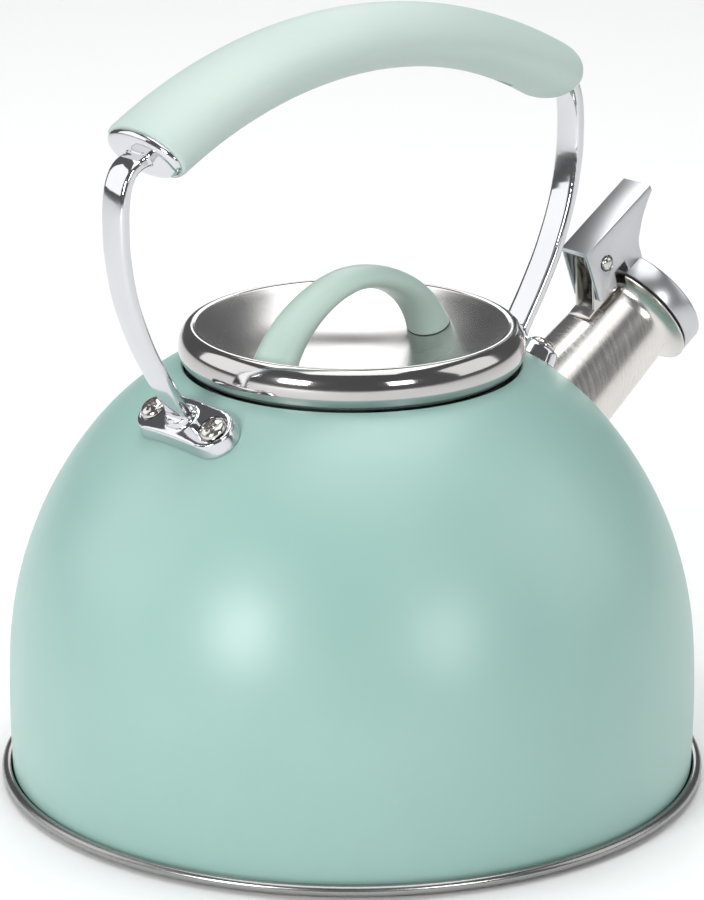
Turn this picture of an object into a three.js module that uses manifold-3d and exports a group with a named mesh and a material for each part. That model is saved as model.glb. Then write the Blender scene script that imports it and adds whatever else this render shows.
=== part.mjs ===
import * as THREE from 'three';
import { mergeVertices } from 'three/addons/utils/BufferGeometryUtils.js';
import Module from 'manifold-3d';

const wasm = await Module();
wasm.setup();

// Millimetres. +Z is up, the stove plane is z = 0, the kettle axis is the Z axis and
// the spout points along +X.

// ---- driving dimensions ----
const bodyFootRadius = 106.5;    // body radius at its lower edge
const baseRimReach = 3.5;        // how far the rolled base rim stands out past the body
const bodyFootZ = 4;             // height of the body's lower edge
const shellWall = 1.2;
const gap = 0.3;                 // clearance between pieces that meet
const footTilt = -3.1;           // the body first leans out by this many degrees
const bodyArcs = [
  { radius: 379.3, sweep: 5.7, steps: 2 },
  { radius: 117.1, sweep: 36.75, steps: 5 },
  { radius: 83, sweep: 24.6, steps: 4 },
];

const lidRimOverhang = 0.8;      // how far the lid's rim reaches out past the body's mouth
const lidRimHeight = 12.6;       // from the body's mouth edge to the lid's crest
const lidWall = 1;
const lidTurn = 7;               // how far the lid is turned about its axis, degrees
const lidDishDepth = 14;         // from the lid's crest down to the middle of its dish
const lidHandleInset = 11.3;     // from the dish's edge in to the middle of a handle foot
const lidHandleRise = 31.9;      // arch height of the handle's centre line
const lidHandleWidth = 13.6;     // at its crown, the feet are broader
const lidHandleThick = 7;

const spoutElevation = 34.4;     // degrees above horizontal
const spoutExitZ = 102.03;       // height at which the spout's axis leaves the body
const spoutRootRadius = 18.1;    // tube radius where it leaves the body
const spoutRootInset = 18.75;    // how far the root lies inside the body, along the axis
const spoutLength = 57;          // from the root to the neck
const spoutNeckRadius = 15.06;
const spoutLipDepth = 3.5;       // from the neck to the end face
const spoutLipFlare = 4.94;      // how much wider than the neck the lip is
const spoutWall = 1;

const capInset = 0.15;           // how far the cap stays inside the lip's edge
const capThick = 8.1;
const capStandOff = 0.9;         // open gap between the lip and the cap
const leverWidth = 12;
const leverWall = 1.3;
const leverLength = 33.2;        // along the top plate
const leverRise = 8.8;           // top plate above the pin
const pivotSetback = 3.4;        // pin behind the spout's end face
const pivotRise = 7.6;           // pin above the lip
const pinRadius = 2.2;

const gripRadius = 158.5;        // of the grip's centre line
const gripHalfSpan = 79.8;       // from the middle to where the grip ends
const gripEndZ = 212.3;
const gripWidth = 34.4;
const gripHeight = 19.2;
const gripWall = 3.6;

const armWidth = 10.1;
const armThick = 4;
const armOverhang = 11.4;        // how far an arm's centre line reaches past the grip's end
const footSetback = 12.3;        // from the body's mouth out to the middle of a handle foot
const footLength = 41.5;
const footWidth = 17;
const footThick = 4.6;
const footScrewPitch = 28;

// ---- values that follow from them ----
const rad = THREE.MathUtils.degToRad;
const baseRadius = bodyFootRadius + baseRimReach;
const spoutLipRadius = spoutNeckRadius + spoutLipFlare;
const capRadius = spoutLipRadius - capInset;
const pivotHeight = spoutLipRadius + pivotRise;
const leverHeight = pivotHeight + leverRise;
const armBulge = gripHalfSpan + armOverhang;
const ringSteps = 48;
const sleeveSteps = 32;

// ---- helpers ----
// Turns a closed geometry into a solid, with its faces made to point out.
function solid(geometry) {
  const plain = new THREE.BufferGeometry();
  plain.setAttribute('position', geometry.getAttribute('position'));
  if (geometry.index) plain.setIndex(geometry.index);
  const merged = mergeVertices(plain, 1e-4);
  const at = merged.getAttribute('position').array;
  const index = merged.index.array;
  const triangles = [];
  let volume = 0;
  for (let i = 0; i < index.length; i += 3) {
    const [a, b, c] = [index[i], index[i + 1], index[i + 2]];
    if (a === b || b === c || a === c) continue;
    triangles.push(a, b, c);
    const p = [a, b, c].map((k) => new THREE.Vector3(at[3 * k], at[3 * k + 1], at[3 * k + 2]));
    volume += p[0].dot(p[1].cross(p[2]));
  }
  if (volume < 0) triangles.reverse();
  return new wasm.Manifold(new wasm.Mesh({
    numProp: 3,
    vertProperties: Float32Array.from(at),
    triVerts: Uint32Array.from(triangles),
  }));
}

const group = new THREE.Group();
group.name = 'whistling_kettle';

function place(name, body, colour, roughness, metalness) {
  const { vertProperties, triVerts } = body.getMesh();
  const indexed = new THREE.BufferGeometry();
  indexed.setAttribute('position', new THREE.BufferAttribute(new Float32Array(vertProperties), 3));
  indexed.setIndex(new THREE.BufferAttribute(new Uint32Array(triVerts), 1));
  const geometry = indexed.toNonIndexed();
  geometry.computeVertexNormals();
  const material = new THREE.MeshStandardMaterial({ color: colour, roughness, metalness });
  const mesh = new THREE.Mesh(geometry, material);
  mesh.name = name;
  group.add(mesh);
}

// A profile of [radius, height] pairs turned about the Z axis.
function turned(profile, steps = ringSteps) {
  const points = profile.map(([r, z]) => new THREE.Vector2(r, z));
  return new THREE.LatheGeometry(points, steps).rotateX(Math.PI / 2);
}

// A closed wall between two open profiles, both listed from bottom to top.
function wallBetween(outer, inner) {
  return [...outer, ...[...inner].reverse(), outer[0]];
}

function rod(radius, length, steps = 32) {
  return new THREE.CylinderGeometry(radius, radius, length, steps);
}

function block(x, y, z) {
  return new THREE.BoxGeometry(x, y, z);
}

// A rectangle with rounded corners.
function roundedRectangle(width, height, corner) {
  const shape = new THREE.Shape();
  const x = width / 2 - corner;
  const y = height / 2 - corner;
  shape.absarc(x, y, corner, 0, Math.PI / 2);
  shape.absarc(-x, y, corner, Math.PI / 2, Math.PI);
  shape.absarc(-x, -y, corner, Math.PI, 1.5 * Math.PI);
  shape.absarc(x, -y, corner, 1.5 * Math.PI, 2 * Math.PI);
  return new THREE.Shape(shape.getPoints(2));
}

// A bar with half-round ends, its length along y.
function stadium(width, length) {
  const shape = new THREE.Shape();
  const y = (length - width) / 2;
  shape.absarc(0, y, width / 2, 0, Math.PI);
  shape.absarc(0, -y, width / 2, Math.PI, 2 * Math.PI);
  return new THREE.Shape(shape.getPoints(4));
}

function ellipse(width, height, corners = 24) {
  const shape = new THREE.Shape();
  shape.absellipse(0, 0, width / 2, height / 2, 0, 2 * Math.PI);
  return new THREE.Shape(shape.getPoints(corners / 2));
}

// A section carried along a curve that stays in the XZ plane.
// The section's x runs along Y and its y lies in the plane.
function swept(section, curve, steps) {
  return new THREE.ExtrudeGeometry(section, { steps, extrudePath: curve, curveSegments: 1 });
}

// The same with the section scaled [across, in the plane] as it goes.
function sweptScaled(section, curve, steps, scaleAt) {
  const outline = section.getPoints().slice(0, -1);
  const corners = outline.length;
  const position = [];
  const index = [];
  for (let i = 0; i <= steps; i += 1) {
    const centre = curve.getPoint(i / steps);
    const along = curve.getTangent(i / steps);
    const [across, inPlane] = scaleAt(i / steps);
    for (const { x, y } of outline) {
      const lift = y * inPlane;
      position.push(centre.x - along.z * lift, x * across, centre.z + along.x * lift);
    }
  }
  for (let k = 0; k < corners; k += 1) {
    const next = (k + 1) % corners;
    for (let i = 0; i < steps * corners; i += corners) {
      index.push(i + k, i + next, i + corners + next, i + k, i + corners + next, i + corners + k);
    }
  }
  const last = steps * corners;
  for (let k = 1; k < corners - 1; k += 1) {
    index.push(0, k + 1, k, last, last + k, last + k + 1);
  }
  const geometry = new THREE.BufferGeometry();
  geometry.setAttribute('position', new THREE.Float32BufferAttribute(position, 3));
  geometry.setIndex(index);
  return geometry;
}

class PlanePath extends THREE.Curve {
  constructor(at) {
    super();
    this.at = at;
  }

  getPoint(t) {
    const [x, z] = this.at(t);
    return new THREE.Vector3(x, 0, z);
  }
}

// An outline of [x, z] pairs given thickness along Y, centred on y = 0.
function plate(outline, thickness) {
  const shape = new THREE.Shape(outline.map(([x, z]) => new THREE.Vector2(x, z)));
  return new THREE.ExtrudeGeometry(shape, { depth: thickness, bevelEnabled: false })
    .translate(0, 0, -thickness / 2)
    .rotateX(Math.PI / 2);
}

// ---- body ----
const bodyCurve = [];
{
  let tilt = rad(footTilt);
  let point = [bodyFootRadius, bodyFootZ];
  bodyCurve.push({ point, tilt });
  for (const { radius, sweep, steps } of bodyArcs) {
    for (let i = 0; i < steps; i += 1) {
      const next = tilt + rad(sweep) / steps;
      point = [
        point[0] + radius * (Math.cos(next) - Math.cos(tilt)),
        point[1] + radius * (Math.sin(next) - Math.sin(tilt)),
      ];
      tilt = next;
      bodyCurve.push({ point, tilt });
    }
  }
}
const mouth = bodyCurve[bodyCurve.length - 1];
const [mouthRadius, mouthZ] = mouth.point;

// The body's outline moved out by a distance, or in when it is negative.
function bodyOutline(distance) {
  return bodyCurve.map(({ point, tilt }) => [
    point[0] + distance * Math.cos(tilt),
    point[1] + distance * Math.sin(tilt),
  ]);
}

// Everything inside the body's outline moved by a distance.
function bodyFill(distance) {
  const outline = bodyOutline(distance);
  const top = outline[outline.length - 1][1];
  return solid(turned([[0, bodyFootZ], ...outline, [0, top]]));
}

// The band between two such outlines, used to make pieces that follow the body.
function bodyBand(inside, outside) {
  return solid(turned(wallBetween(bodyOutline(outside), bodyOutline(inside))));
}

// Point and outward direction of the body's surface at a radius above the shoulder.
function surfaceAt(radius) {
  let k = bodyCurve.length - 1;
  while (bodyCurve[k - 1].point[0] < radius) k -= 1;
  const [a, b] = [bodyCurve[k - 1], bodyCurve[k]];
  const f = (a.point[0] - radius) / (a.point[0] - b.point[0]);
  return {
    z: a.point[1] + f * (b.point[1] - a.point[1]),
    tilt: a.tilt + f * (b.tilt - a.tilt),
  };
}
const footRadius = mouthRadius + footSetback;
const footSurface = surfaceAt(footRadius);

// Moves a geometry made about its own origin, with Z along the surface's outward
// direction, on to a handle foot. Side is 1 for the spout side, -1 for the other.
function ontoFoot(geometry, side) {
  geometry.rotateY(Math.PI / 2 - footSurface.tilt);
  geometry.translate(footRadius, 0, footSurface.z);
  return side > 0 ? geometry : geometry.rotateZ(Math.PI);
}

// How far from the kettle's axis the body's wall is at a height.
function wallAt(height) {
  const k = bodyCurve.findIndex(({ point }) => point[1] > height);
  const [a, b] = [bodyCurve[k - 1].point, bodyCurve[k].point];
  return a[0] + (height - a[1]) / (b[1] - a[1]) * (b[0] - a[0]);
}
const spoutExit = wallAt(spoutExitZ);
// Where the spout's axis meets the kettle's axis; distances along it start there.
const spoutAxisZ = spoutExitZ - spoutExit * Math.tan(rad(spoutElevation));
const spoutRootAt = spoutExit / Math.cos(rad(spoutElevation)) - spoutRootInset;
const spoutNeckAt = spoutRootAt + spoutLength;
const spoutLipAt = spoutNeckAt + spoutLipDepth;
const capAt = spoutLipAt + capStandOff;
const pivotAt = spoutLipAt - pivotSetback;

function ontoSpout(geometry) {
  return geometry.rotateY(-rad(spoutElevation)).translate(0, 0, spoutAxisZ);
}

// A profile of [radius, distance along the axis] pairs turned about the spout's axis.
function spoutTurned(profile, steps = sleeveSteps) {
  return solid(ontoSpout(turned(profile, steps).rotateY(Math.PI / 2)));
}

function spoutRadiusAt(distance) {
  const f = (distance - spoutRootAt) / (spoutNeckAt - spoutRootAt);
  return spoutRootRadius + f * (spoutNeckRadius - spoutRootRadius);
}

const footScrewRadius = 2;
const footHoleRadius = footScrewRadius + gap;
const footScrewHead = 4.3;
// The plate follows the body, which falls away towards the screws, so their heads sit in
// recesses cut this far above the body's surface at the middle of the foot.
const footFall = (footScrewPitch / 2) ** 2 * Math.cos(footSurface.tilt) / (2 * footRadius);
const footRecess = footThick - footFall - 0.8;
function footHoles(side, radius) {
  return [-1, 1]
    .map((end) => solid(ontoFoot(
      rod(radius, 30, 14).rotateX(Math.PI / 2).translate(0, end * footScrewPitch / 2, 0),
      side,
    )))
    .reduce((a, b) => a.add(b));
}

function makeBody() {
  let shell = bodyBand(-shellWall, 0);
  const [from, to] = [spoutRootAt - 26, spoutNeckAt - 10];
  shell = shell.subtract(spoutTurned([
    [0, from],
    [spoutRadiusAt(from) + gap, from],
    [spoutRadiusAt(to) + gap, to],
    [0, to],
  ]));
  for (const side of [-1, 1]) shell = shell.subtract(footHoles(side, footHoleRadius));
  place('body_shell', shell, 0xa9d3c9, 0.38, 0);
}

// ---- base ----
const rimTopZ = 4.7;
const capPlate = 1.2;
const coreTop = 4.6;
const panThick = 0.9;

function makeBase() {
  const lip = bodyFootRadius + 2 * gap;
  place('base_cap', solid(turned([
    [0, 0],
    [baseRadius - 7, 0],
    [baseRadius - 5.2, 0.5],
    [baseRadius - 2.2, 1],
    [baseRadius - 0.6, 1.7],
    [baseRadius, 2.8],
    [baseRadius - 0.4, 3.9],
    [baseRadius - 1.6, rimTopZ],
    [lip, rimTopZ - 0.1],
    [lip, capPlate + 1.3],
    [lip - 2.6, capPlate + 0.4],
    [lip - 4, capPlate],
    [0, capPlate],
  ])), 0xb9b8b4, 0.3, 1);
  place('heat_core', solid(turned([
    [0, capPlate + gap],
    [baseRadius - 15, capPlate + gap],
    [baseRadius - 14, capPlate + gap + 1],
    [baseRadius - 14, coreTop],
    [0, coreTop],
  ])), 0xc4c6c8, 0.5, 1);
  const wall = bodyFootRadius - shellWall - gap;
  const floor = coreTop + gap;
  place('base_pan', solid(turned([
    [0, floor],
    [wall - 1.5, floor],
    [wall, floor + 1.5],
    [wall, floor + 4.6],
    [wall - panThick, floor + 4.6],
    [wall - panThick, floor + 1.9],
    [wall - 1.9, floor + panThick],
    [0, floor + panThick],
  ])), 0xbfbfbd, 0.4, 1);
}

// ---- mouth and lid ----
const throatRadius = mouthRadius - 6.9;
const seatZ = mouthZ - 0.9;
const lidSkirtDepth = 9;

function makeMouth() {
  place('mouth_collar', solid(turned([
    [throatRadius, seatZ - 7.5],
    [throatRadius + 0.9, seatZ - 7.5],
    [throatRadius + 0.9, seatZ - 1.4],
    [mouthRadius - 1.2, seatZ - 1],
    [mouthRadius - 1.2, seatZ],
    [throatRadius + 1.2, seatZ],
    [throatRadius, seatZ - 1.2],
    [throatRadius, seatZ - 7.5],
  ])), 0xbcbcba, 0.3, 1);
}

const lidRimRadius = mouthRadius + lidRimOverhang;
const crestZ = mouthZ + lidRimHeight;
const dishZ = crestZ - lidDishDepth;
const dishEdge = lidRimRadius - 5.8;
const dishDrop = lidDishDepth - 0.5;
const dishPower = 2.9;
const lidHandleReach = dishEdge - lidHandleInset;

// The dish is a smooth bowl that steepens from its middle to the crest of the rim.
function dishHeight(radius) {
  return dishZ + dishDrop * (radius / dishEdge) ** dishPower;
}

// Its outline from the middle outwards, moved down square to the surface.
function dishLine(down) {
  const line = [];
  for (let k = 0; k <= 8; k += 1) {
    const radius = dishEdge * k / 8;
    const slope = Math.atan(dishPower * dishDrop * (k / 8) ** (dishPower - 1) / dishEdge);
    line.push([radius + down * Math.sin(slope), dishHeight(radius) - down * Math.cos(slope)]);
  }
  return line;
}

const rimOutline = [
  [lidRimRadius - 4, crestZ],
  [lidRimRadius - 1.7, crestZ - 1.4],
  [lidRimRadius - 0.5, crestZ - 3.6],
  [lidRimRadius, crestZ - 6.6],
  [lidRimRadius - 0.3, crestZ - 9.2],
  [lidRimRadius - 1.8, crestZ - 12.2],
];
// The rim's wall seen from inside, from its lower edge up to the dish.
const rimUnderside = [
  [lidRimRadius - 3, crestZ - 11.8],
  [lidRimRadius - lidWall, crestZ - 6.6],
  [lidRimRadius - lidWall - 0.6, crestZ - 4],
  [lidRimRadius - 3.2, crestZ - lidWall - 0.6],
];
const lidScrewRadius = 2;
const lidScrewAt = lidHandleReach - 1;
const lidScrewTip = dishHeight(lidScrewAt) + 5;   // inside the handle's foot
const washerRadius = 4.4;
const washerTop = dishHeight(lidScrewAt - washerRadius) - lidWall - 2 * gap;
const washerThick = 0.8;
const lidScrewSeat = washerTop - washerThick - gap;

function turnLid(geometry) {
  return geometry.rotateZ(rad(lidTurn));
}

function lidScrewTool(radius, from, to, steps = 16) {
  const length = to - from;
  return [-1, 1].map((side) => solid(turnLid(
    rod(radius, length, steps).rotateX(Math.PI / 2).translate(side * lidScrewAt, 0, from + length / 2),
  )));
}

function makeLid() {
  const [left, right] = lidScrewTool(lidScrewRadius + gap, dishZ - 4, crestZ);
  const top = solid(turned([
    ...dishLine(0),
    ...rimOutline,
    ...rimUnderside,
    ...dishLine(lidWall).reverse(),
  ]));
  place('lid_top', top.subtract(left).subtract(right), 0xb4b3b1, 0.22, 1);

  const skirtTop = seatZ + gap;
  const outer = throatRadius - 2 * gap;
  place('lid_skirt', solid(turned([
    [outer - 0.8, skirtTop - lidSkirtDepth],
    [outer, skirtTop - lidSkirtDepth],
    [outer, skirtTop],
    [mouthRadius - 3.2, skirtTop],
    [mouthRadius - 3.2, skirtTop + 0.8],
    [outer - 0.8, skirtTop + 0.8],
    [outer - 0.8, skirtTop - lidSkirtDepth],
  ])), 0xb8b8b6, 0.35, 1);
}

// The arch swells from its crown to its feet, which are cut to sit on the dish.
function makeLidHandle() {
  const angleAt = (t) => Math.PI * (1.09 - 1.18 * t);
  const arch = new PlanePath((t) => {
    const side = Math.cos(angleAt(t));
    return [
      Math.sign(side) * (lidHandleReach + 1.4) * Math.abs(side) ** 1.09,
      crestZ - 17.9 + lidHandleRise * Math.sin(angleAt(t)),
    ];
  });
  const section = ellipse(lidHandleWidth, lidHandleThick, 16);
  const swell = (t) => {
    const away = Math.min(1, Math.abs(angleAt(t) - Math.PI / 2) / 1.25);
    return [1 + 0.11 * away ** 2, 1 + 0.74 * away ** 2];
  };
  let handle = solid(turnLid(sweptScaled(section, arch, 24, swell)));
  handle = handle.subtract(solid(turned([
    [0, dishZ - 30],
    [lidRimRadius, dishZ - 30],
    [lidRimRadius, crestZ],
    ...dishLine(-gap).reverse(),
  ])));
  const holes = lidScrewTool(lidScrewRadius + gap, dishZ, lidScrewTip + 2 * gap);
  for (const hole of holes) handle = handle.subtract(hole);
  place('lid_handle', handle, 0xb9d9ce, 0.42, 0);
}

function makeLidScrews() {
  const names = ['left', 'right'];
  const shanks = lidScrewTool(lidScrewRadius, lidScrewSeat - 0.2, lidScrewTip);
  const heads = lidScrewTool(3.6, lidScrewSeat - 2, lidScrewSeat);
  const washers = lidScrewTool(washerRadius, washerTop - washerThick, washerTop);
  const drills = lidScrewTool(lidScrewRadius + gap, washerTop - 2, washerTop + 2);
  const slots = [-1, 1].map((side) => solid(turnLid(
    block(1, 5.4, 1.4).translate(side * lidScrewAt, 0, lidScrewSeat - 2),
  )));
  names.forEach((name, k) => {
    place(`lid_screw_${name}`, heads[k].add(shanks[k]).subtract(slots[k]), 0xb0b0ae, 0.35, 1);
    place(`lid_washer_${name}`, washers[k].subtract(drills[k]), 0x2b2b2b, 0.7, 0);
  });
}

// ---- spout ----
const notchHalfWidth = leverWidth / 2 + 2 * gap;
const notchFloor = spoutNeckRadius + 0.7;

function makeSpout() {
  const neck = spoutNeckRadius;
  const lip = spoutLipRadius;
  const bore = (distance) => spoutRadiusAt(distance) - spoutWall;
  const flareAt = spoutLipAt - 6;
  const rootEnd = spoutRootAt - 16;
  let tube = spoutTurned([
    [bore(rootEnd), rootEnd],
    [spoutRadiusAt(rootEnd), rootEnd],
    [spoutRadiusAt(flareAt), flareAt],
    [neck + 0.5, spoutLipAt - 3.8],
    [neck + 1.5, spoutLipAt - 2.3],
    [neck + 2.9, spoutLipAt - 1.3],
    [lip - 0.3, spoutLipAt - 0.7],
    [lip, spoutLipAt - 0.35],
    [lip - 0.3, spoutLipAt],
    [neck + 2.6, spoutLipAt - 0.3],
    [neck + 0.8, spoutLipAt - 1.5],
    [neck - 0.5, spoutLipAt - 3.3],
    [bore(flareAt), flareAt],
    [bore(rootEnd), rootEnd],
  ]);
  tube = tube.subtract(bodyFill(-shellWall - 2));
  const notch = solid(ontoSpout(block(8, 2 * notchHalfWidth, 12)
    .translate(spoutLipAt, 0, notchFloor + 6)));
  place('spout_tube', tube.subtract(notch), 0xc9c4bd, 0.36, 1);
}

const earThick = 1;
const bracketHalf = leverWidth / 2 - leverWall - gap;
const bracketFloor = Math.max(spoutRadiusAt(pivotAt - 15.2), spoutNeckRadius + 0.8) + gap;

function makeBracket() {
  const strip = [
    [pivotAt - 15.2, bracketFloor],
    [pivotAt, bracketFloor],
    [pivotAt, bracketFloor + earThick],
    [pivotAt - 14.2, bracketFloor + earThick],
    [pivotAt - 15.2, bracketFloor + 0.6],
  ];
  let bracket = solid(plate(strip, 2 * bracketHalf));
  const ear = [[pivotAt - 12, bracketFloor + 0.4]];
  for (let k = 0; k <= 10; k += 1) {
    const angle = rad(160 - 18 * k);
    ear.push([pivotAt + 4.6 * Math.cos(angle), pivotHeight + 4.6 * Math.sin(angle)]);
  }
  ear.push([pivotAt - 0.2, bracketFloor + 0.4]);
  for (const side of [-1, 1]) {
    const y = side * (bracketHalf - earThick / 2);
    bracket = bracket.add(solid(plate(ear, earThick).translate(0, y, 0)));
  }
  bracket = bracket.subtract(solid(rod(pinRadius + 0.1, 20).translate(pivotAt, 0, pivotHeight)));
  place('whistle_bracket', onSpout(bracket), 0xbdbcb9, 0.25, 1);
}

// Moves a finished solid from the spout's own frame into the kettle's.
function onSpout(body) {
  return body.rotate([0, -spoutElevation, 0]).translate([0, 0, spoutAxisZ]);
}

function makePin() {
  const half = leverWidth / 2;
  const pin = turned([
    [0, -half - 0.9],
    [pinRadius - 0.9, -half - 0.8],
    [pinRadius, -half - 0.2],
    [pinRadius, half + 0.2],
    [pinRadius - 0.9, half + 0.8],
    [0, half + 0.9],
  ], 24).rotateX(Math.PI / 2).translate(pivotAt, 0, pivotHeight);
  place('pivot_pin', onSpout(solid(pin)), 0xcfcecb, 0.2, 1);
}

// The lever's side view: top plate, hollow finger edge, cap block, stepped lower edge.
function leverOutline() {
  const tip = pivotAt - 5.1 + leverLength;
  const top = leverHeight;
  const back = pivotAt - 5.1;
  const capBack = capAt + 1.7;
  return [
    [back, top],
    [tip, top - 0.4],
    [tip - 0.2, top - 2.6],
    [tip - 4, top - 4.6],
    [tip - 7.8, top - 7],
    [tip - 11.4, top - 10.2],
    [tip - 14, top - 13.2],
    [tip - 15.6, top - 18.4],
    [capBack, top - 18.4],
    [capBack, pivotHeight - 5],
    [pivotAt + 0.7, pivotHeight - 5.1],
    [pivotAt - 0.8, pivotHeight - 9.4],
    [pivotAt - 7.7, pivotHeight - 9.5],
    [pivotAt - 9.3, pivotHeight - 8.2],
  ];
}

function makeLever() {
  const tip = pivotAt - 5.1 + leverLength;
  const top = leverHeight;
  const roof = top - 1.4;
  const cavity = [
    [pivotAt - 14, 5],
    [pivotAt - 14, roof],
    [tip - 5.2, roof - 0.3],
    [tip - 9, roof - 4.2],
    [tip - 14.6, roof - 9.6],
    [capAt + 1.6, roof - 10.8],
    [capAt + 1.6, 5],
  ];
  let lever = solid(plate(leverOutline(), leverWidth));
  lever = lever.subtract(solid(plate(cavity, leverWidth - 2 * leverWall)));
  lever = lever.subtract(solid(rod(pinRadius + 0.4, 30).translate(pivotAt, 0, pivotHeight)));
  const front = capAt + capThick;
  const ring = solid(turned([
    [0, front - 2],
    [capRadius - 2.2, front - 2],
    [capRadius - 2.2, capAt],
    [capRadius - 0.5, capAt],
    [capRadius, capAt + 0.5],
    [capRadius, front - 1.2],
    [capRadius - 0.35, front - 0.4],
    [capRadius - 1.3, front],
    [0, front],
  ], sleeveSteps).rotateY(Math.PI / 2));
  const opening = solid(rod(9.6, 20, 40).rotateZ(Math.PI / 2).translate(front, 0, 0));
  place('whistle_lever', onSpout(lever.add(ring).subtract(opening)), 0xc8c9ca, 0.22, 1);
}

function makeWhistle() {
  const discRadius = capRadius - 2.5;
  const soundHole = 1.6;
  const outer = capAt + capThick - 3.2;
  place('whistle_outer_disc', spoutTurned([
    [soundHole, outer],
    [discRadius, outer],
    [discRadius, outer + 0.9],
    [soundHole, outer + 0.9],
    [soundHole, outer],
  ]), 0xb7b6b3, 0.3, 1);
  const plug = spoutNeckRadius - spoutWall - 0.9;
  const inner = outer - 1.4;
  const end = spoutLipAt - 2;
  place('whistle_inner_disc', spoutTurned([
    [soundHole, end],
    [plug - 0.8, end],
    [plug, end + 0.8],
    [plug, inner],
    [discRadius, inner],
    [discRadius, inner + 0.9],
    [plug - 0.9, inner + 0.9],
    [plug - 0.9, end + 0.9],
    [soundHole, end + 0.9],
    [soundHole, end],
  ]), 0xa9a8a5, 0.35, 1);
}

// Coil about the pin with one leg under the lever's plate and one on the bracket.
function makeSpring() {
  const coil = pinRadius + 0.75;
  const wire = 0.35;
  const start = rad(-40);
  const end = rad(50 + 360 * 3);
  const halfSpan = 2.1;
  const points = [];
  const foot = bracketFloor + earThick + gap + wire - pivotHeight;
  const head = leverHeight - 1.4 - gap - wire - pivotHeight;
  const from = [coil * Math.cos(start), coil * Math.sin(start)];
  const footRun = (foot - from[1]) / Math.cos(start);
  const to = [coil * Math.cos(end), coil * Math.sin(end)];
  const headRun = (head - to[1]) / Math.cos(end);
  for (const f of [1, 0.5, 0.12]) {
    points.push([from[0] - Math.sin(start) * footRun * f, -halfSpan, from[1] + Math.cos(start) * footRun * f]);
  }
  const turns = 36;
  for (let k = 0; k <= turns; k += 1) {
    const angle = start + (end - start) * k / turns;
    const y = -halfSpan + 2 * halfSpan * k / turns;
    points.push([coil * Math.cos(angle), y, coil * Math.sin(angle)]);
  }
  for (const f of [0.12, 0.5, 1]) {
    points.push([to[0] - Math.sin(end) * headRun * f, halfSpan, to[1] + Math.cos(end) * headRun * f]);
  }
  const path = new THREE.CatmullRomCurve3(points.map(([x, y, z]) => (
    new THREE.Vector3(x + pivotAt, y, z + pivotHeight))));
  const section = ellipse(2 * wire, 2 * wire, 6);
  const wound = new THREE.ExtrudeGeometry(section, { steps: 56, extrudePath: path, curveSegments: 1 });
  place('torsion_spring', onSpout(solid(wound)), 0xc6c6c4, 0.3, 1);
}

// ---- carrying handle ----
const gripCentreZ = gripEndZ - Math.sqrt(gripRadius ** 2 - gripHalfSpan ** 2);
const gripEndAngle = Math.asin(gripHalfSpan / gripRadius);

// Part of the grip's centre line between two angles from the top, positive towards +X.
function gripPath(from, to) {
  return new PlanePath((t) => {
    const angle = from + (to - from) * t;
    return [gripRadius * Math.sin(angle), gripCentreZ + gripRadius * Math.cos(angle)];
  });
}

const tangDepth = 26 / gripRadius;
const gripScrewAngle = gripEndAngle - 16 / gripRadius;

// A rod pointing at the grip's centre of curvature, between two distances from it.
function gripDrill(side, radius, from, to) {
  const angle = side * gripScrewAngle;
  return solid(rod(radius, to - from, 14)
    .rotateX(Math.PI / 2)
    .translate(0, 0, (from + to) / 2)
    .rotateY(angle)
    .translate(0, 0, gripCentreZ));
}

function makeGrip() {
  const grip = gripPath(-gripEndAngle, gripEndAngle);
  let sleeve = solid(swept(ellipse(gripWidth, gripHeight), grip, 28));
  const socket = ellipse(gripWidth - 2 * gripWall, gripHeight - 2 * gripWall, 16);
  for (const side of [-1, 1]) {
    const bottom = side * (gripEndAngle - tangDepth - 1 / gripRadius);
    sleeve = sleeve.subtract(solid(swept(socket, gripPath(bottom, side * (gripEndAngle + 0.01)), 4)));
    sleeve = sleeve.subtract(gripDrill(side, 2 + gap, gripRadius - 12, gripRadius));
    sleeve = sleeve.subtract(gripDrill(side, 3.6, gripRadius - 12, gripRadius - gripHeight / 2 + 2.2));
  }
  place('grip_sleeve', sleeve, 0xbcdcd2, 0.5, 0);
  const seat = gripRadius - gripHeight / 2 + 2.2 - gap;
  for (const [side, name] of [[-1, 'back'], [1, 'front']]) {
    const head = gripDrill(side, 3.2, seat - 1.6, seat);
    const shank = gripDrill(side, 2, seat - 0.4, gripRadius + 2);
    const angle = side * gripScrewAngle;
    const slot = solid(block(1, 5, 1.4).translate(0, 0, seat - 1.6).rotateY(angle).translate(0, 0, gripCentreZ));
    place(`grip_screw_${name}`, head.add(shank).subtract(slot), 0xb6b6b4, 0.35, 1);
  }
}

// The arm's centre line, from under its foot to inside its end cap.
function armPath() {
  const upperEnd = 21;
  const lean = armBulge - footRadius;
  const climb = gripEndZ - upperEnd - footSurface.z;
  const lower = [
    [0.045, 0.006],
    [0.129, 0.072],
    [0.269, 0.160],
    [0.447, 0.275],
    [0.674, 0.442],
    [0.879, 0.655],
    [0.981, 0.865],
  ].map(([out, up]) => [footRadius + out * lean, footSurface.z + up * climb]);
  const points = [
    ...lower,
    [armBulge, gripEndZ - upperEnd],
    [armBulge - 0.2, gripEndZ - 14],
    [armBulge - 1.2, gripEndZ - 8.4],
    [armBulge - 3.6, gripEndZ - 4],
    [armBulge - 7.4, gripEndZ - 1.9],
    [gripHalfSpan, gripEndZ - 1.4],
  ];
  return new THREE.CatmullRomCurve3(points.map(([x, z]) => new THREE.Vector3(x, 0, z)));
}

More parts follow.
